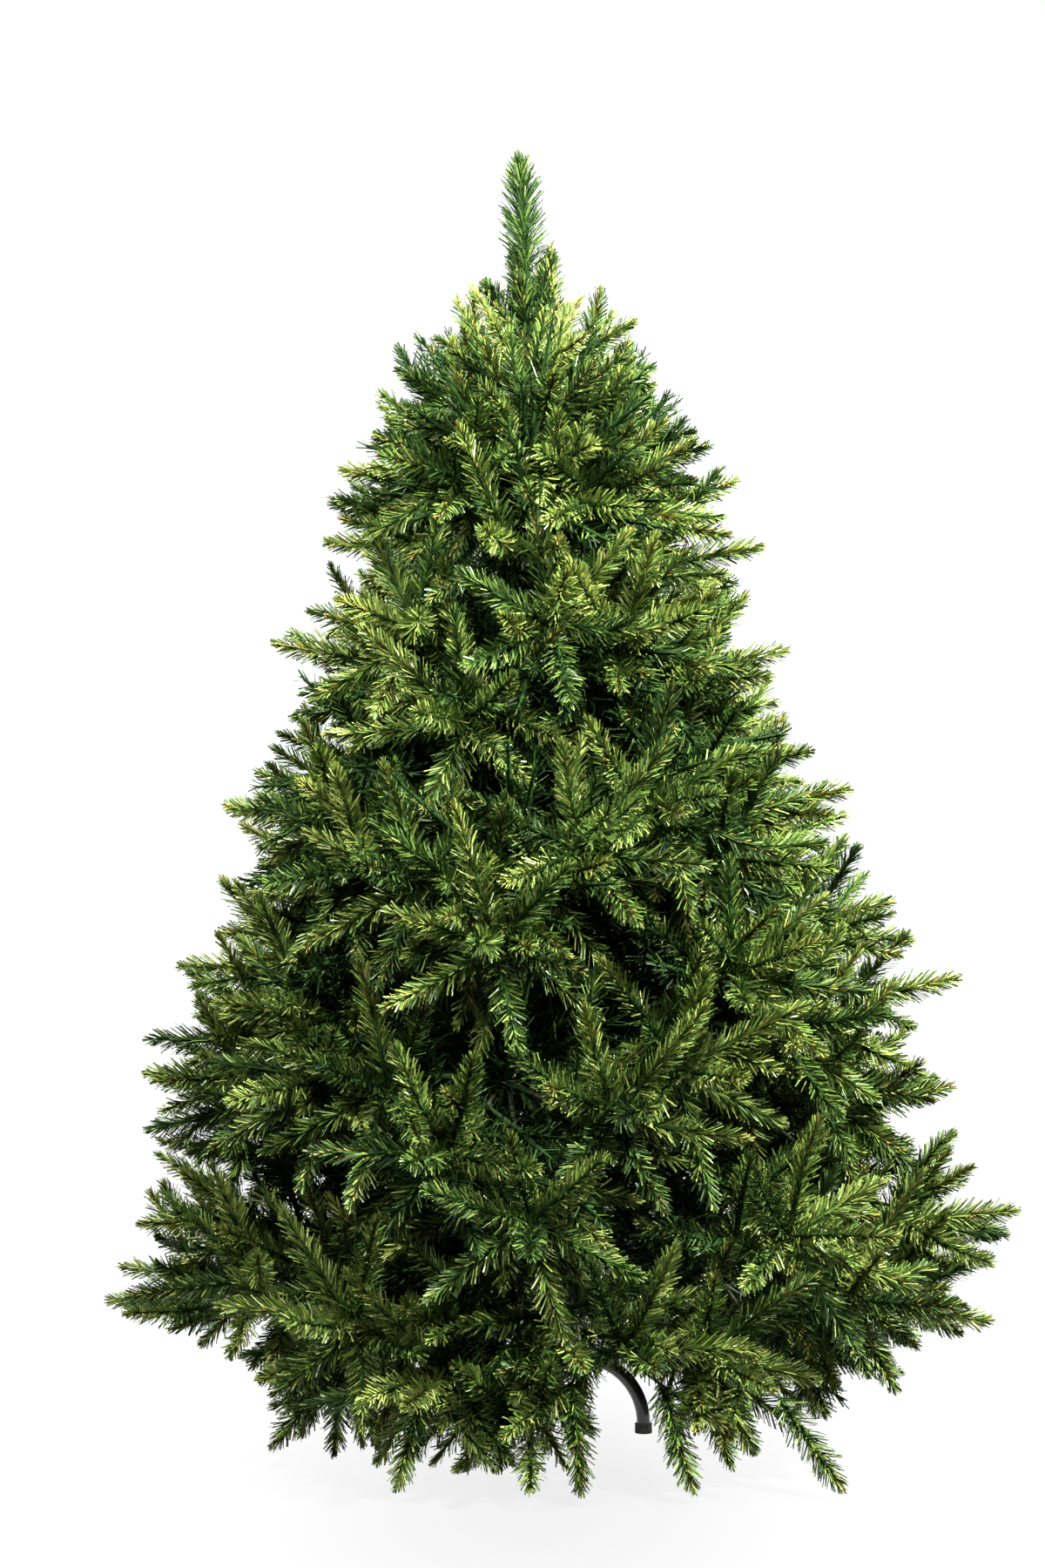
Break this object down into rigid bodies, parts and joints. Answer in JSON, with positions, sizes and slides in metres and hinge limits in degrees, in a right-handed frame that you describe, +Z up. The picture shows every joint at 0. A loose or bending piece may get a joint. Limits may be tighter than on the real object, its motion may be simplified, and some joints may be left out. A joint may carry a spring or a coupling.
{
  "type": "artificial christmas tree on a stand",
  "caption": "Full, undecorated artificial Christmas tree of green needle sprays on hinged-style boughs round a metal pole, in a low black steel stand with arched legs.",
  "frame": {"origin": "on the floor at the pole's axis, on the flat underside of the stand's plug", "axes": "+Z up along the pole, front towards -Y, +X to the right as seen from the front"},
  "size_m": [1.4766, 1.4527, 2.1002],
  "materials": {
    "needles": "soft green plastic needles, slightly glossy",
    "wrapped_wire": "steel wire wrapped in matt green-brown plastic tape",
    "pole_paint": "dark green satin paint on steel tube",
    "black_paint": "glossy black paint on steel tube",
    "black_rubber": "matt black rubber",
    "zinc": "bright zinc plating"
  },
  "bodies": {
    "root": {"bough_low_1": "wrapped_wire", "bough_low_2": "wrapped_wire", "bough_low_3": "wrapped_wire", "bough_low_4": "wrapped_wire", "bough_low_5": "wrapped_wire", "bough_low_6": "wrapped_wire", "bough_middle_1": "wrapped_wire", "bough_middle_2": "wrapped_wire", "bough_middle_3": "wrapped_wire", "bough_middle_4": "wrapped_wire", "bough_middle_5": "wrapped_wire", "bough_middle_6": "wrapped_wire", "bough_skirt_1": "wrapped_wire", "bough_skirt_2": "wrapped_wire", "bough_skirt_3": "wrapped_wire", "bough_skirt_4": "wrapped_wire", "bough_skirt_5": "wrapped_wire", "bough_skirt_6": "wrapped_wire", "needles_high_1": "needles", "needles_high_2": "needles", "needles_high_3": "needles", "needles_high_4": "needles", "needles_high_5": "needles", "needles_high_6": "needles", "needles_leader": "needles", "needles_low_1": "needles", "needles_low_2": "needles", "needles_low_3": "needles", "needles_low_4": "needles", "needles_low_5": "needles", "needles_low_6": "needles", "needles_middle_1": "needles", "needles_middle_2": "needles", "needles_middle_3": "needles", "needles_middle_4": "needles", "needles_middle_5": "needles", "needles_middle_6": "needles", "needles_skirt_1": "needles", "needles_skirt_2": "needles", "needles_skirt_3": "needles", "needles_skirt_4": "needles", "needles_skirt_5": "needles", "needles_skirt_6": "needles", "needles_upper_1": "needles", "needles_upper_2": "needles", "needles_upper_3": "needles", "pole": "pole_paint", "stand_leg_back": "black_paint", "stand_leg_front": "black_paint", "stand_leg_left": "black_paint", "stand_leg_right": "black_paint", "stand_plug": "black_rubber", "stand_screw_left": "zinc", "stand_screw_right": "zinc", "stand_shoe_back": "black_rubber", "stand_shoe_front": "black_rubber", "stand_shoe_left": "black_rubber", "stand_shoe_right": "black_rubber", "stand_socket": "black_paint"}
  },
  "joints": []
}
